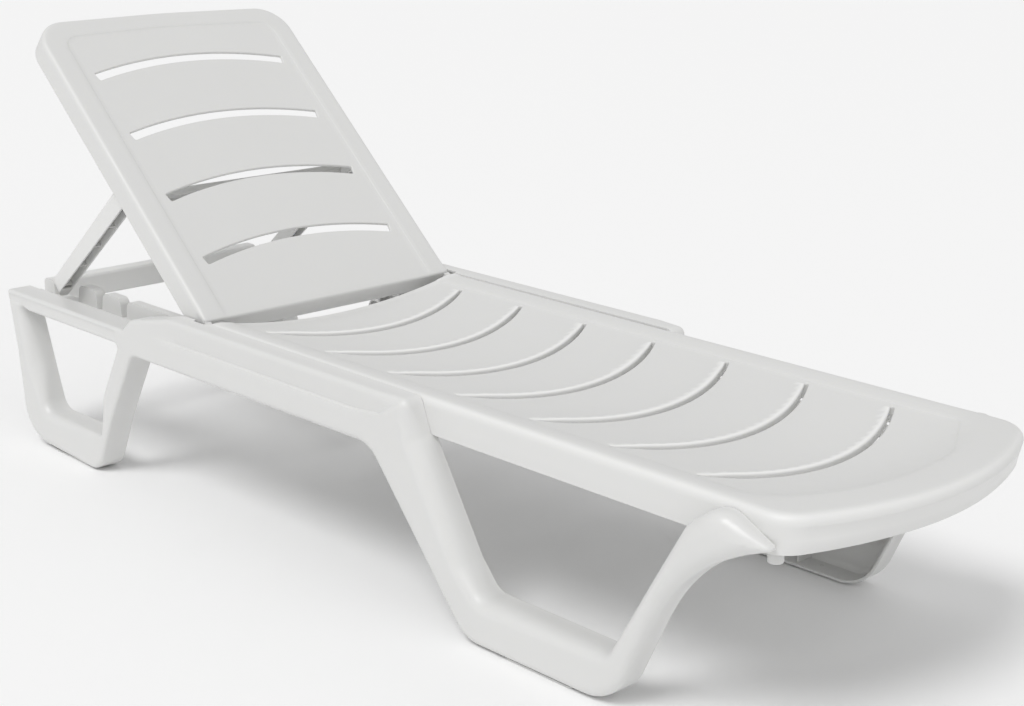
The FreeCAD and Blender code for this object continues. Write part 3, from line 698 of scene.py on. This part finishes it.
def backrest():
    """Slotted panel with its rim, ribs and hinge ears."""
    corners = [
        (0, 283, 6, 5), (0, -283, 6, 5), (30, -283, 0, 9), (705, -283, 64, 9), (711, 0, 2400, 9),
        (705, 283, 64, 9), (30, 283, 0, 9),
    ]
    outline, values = rounded_loop(corners, 6.0)
    ends = [BACK_SLOT_FIRST + BACK_SLOT_PITCH * i for i in range(4)]
    slots = [slot_loop(end, BACK_SLOT_BOW, BACK_SLOT_HALF, 18.0) for end in ends]
    marks, _ = rounded_loop(BACK_STEP, 6.0)
    marks = np.concatenate([marks + inward_normals(marks) * k for k in (-1.2, -0.4, 0.4, 1.2)])
    grid = lattice(2, 709, -281, 281, 12.0, 11.0)
    shell = Shell(on_backrest)
    panel_with_slots(shell, outline, values[:, 0], slots, 2.0, 5.0, back_height, -BACK_DEPTH, WALL, grid,
                     marks, lambda loop: loop.copy())
    for y in BACK_RIBS:
        bowed = BACK_SLOT_BOW * (1 - (y / BACK_SLOT_HALF) ** 2)
        places = [end + bowed for end in ends]
        runs = zip([4.0] + [p + 26.0 for p in places], [p - 26.0 for p in places] + [704.0])
        for low, high in runs:
            if low < BAR_ROOM[0] + 8.0 < high:
                high = BAR_ROOM[0]
            elif BAR_ROOM[0] + 4.0 < low < BAR_ROOM[1] - 4.0:
                low = BAR_ROOM[1]
            shell.box((low, y - HALF_RIB, -18.0), (high, y + HALF_RIB, -4.5))
    around = np.linspace(0, 2 * math.pi, 41)[:-1]
    for side in (-1, 1):
        y0, y1 = sorted((side * (BACK_HALF - 12.0), side * BACK_HALF))
        ring = [(HINGE_S + 14.0 * math.cos(a), HINGE_H + 14.0 * math.sin(a)) for a in around]
        bore = [(HINGE_S + 6.05 * math.cos(a), HINGE_H + 6.05 * math.sin(a)) for a in around]
        order = ((y0, bore), (y0, ring), (y1, ring), (y1, bore), (y0, bore))
        rows = [[(a, y, b) for a, b in loop] for y, loop in order]
        shell.band(rows, flip=True)
        shell.box((1.0, y0 + 0.2, -43.5), (26.0, y1 - 0.2, -6.0))
    shell.finish("moulded_backrest", "backrest", PANEL, ["backrest_panel"])


side_frames()
deck()
backrest()

# ---- floor, light, camera --------------------------------------------------------------------
scene = bpy.context.scene
floor_mesh = bpy.data.meshes.new("floor")
floor_mesh.from_pydata([(-30, -30, 0), (30, -30, 0), (30, 30, 0), (-30, 30, 0)], [], [(0, 1, 2, 3)])
floor = bpy.data.objects.new("floor", floor_mesh)
scene.collection.objects.link(floor)
paper = bpy.data.materials.new("pale_floor")
paper.use_nodes = True
paper.node_tree.nodes["Principled BSDF"].inputs["Base Color"].default_value = (0.98, 0.98, 0.98, 1)
paper.node_tree.nodes["Principled BSDF"].inputs["Roughness"].default_value = 0.9
floor_mesh.materials.append(paper)

world = bpy.data.worlds.new("studio")
scene.world = world
world.use_nodes = True
world.node_tree.nodes["Background"].inputs["Color"].default_value = (1.0, 1.0, 1.0, 1)
world.node_tree.nodes["Background"].inputs["Strength"].default_value = 0.60


def sun(name, direction, spread, strength):
    light = bpy.data.lights.new(name, "SUN")
    light.angle = math.radians(spread)
    light.energy = strength
    obj = bpy.data.objects.new(name, light)
    obj.rotation_euler = Vector(direction).to_track_quat("Z", "Y").to_euler()
    scene.collection.objects.link(obj)


sun("key", (0.10, -0.55, 0.83), 24.0, 1.2)
sun("fill", (0.85, -0.25, 0.42), 40.0, 0.18)

scene.view_settings.view_transform = "Standard"
scene.view_settings.look = "None"
scene.view_settings.exposure = 0.0

azimuth, elevation, roll = math.radians(45.76847), math.radians(16.05914), math.radians(0.70464)
level = math.cos(elevation)
back = Vector((math.sin(azimuth) * level, -math.cos(azimuth) * level, math.sin(elevation)))
right = (-back).cross(Vector((0, 0, 1))).normalized()
up = right.cross(-back)
turned_right = right * math.cos(roll) + up * math.sin(roll)
turned_up = up * math.cos(roll) - right * math.sin(roll)
turn = Matrix((turned_right, turned_up, back)).transposed().to_4x4()
camera_data = bpy.data.cameras.new("camera")
camera_data.sensor_width = 36.0
camera_data.lens = 64.188
camera = bpy.data.objects.new("camera", camera_data)
camera.matrix_world = Matrix.Translation((2.181476, -2.019826, 1.170751)) @ turn
scene.collection.objects.link(camera)
scene.camera = camera
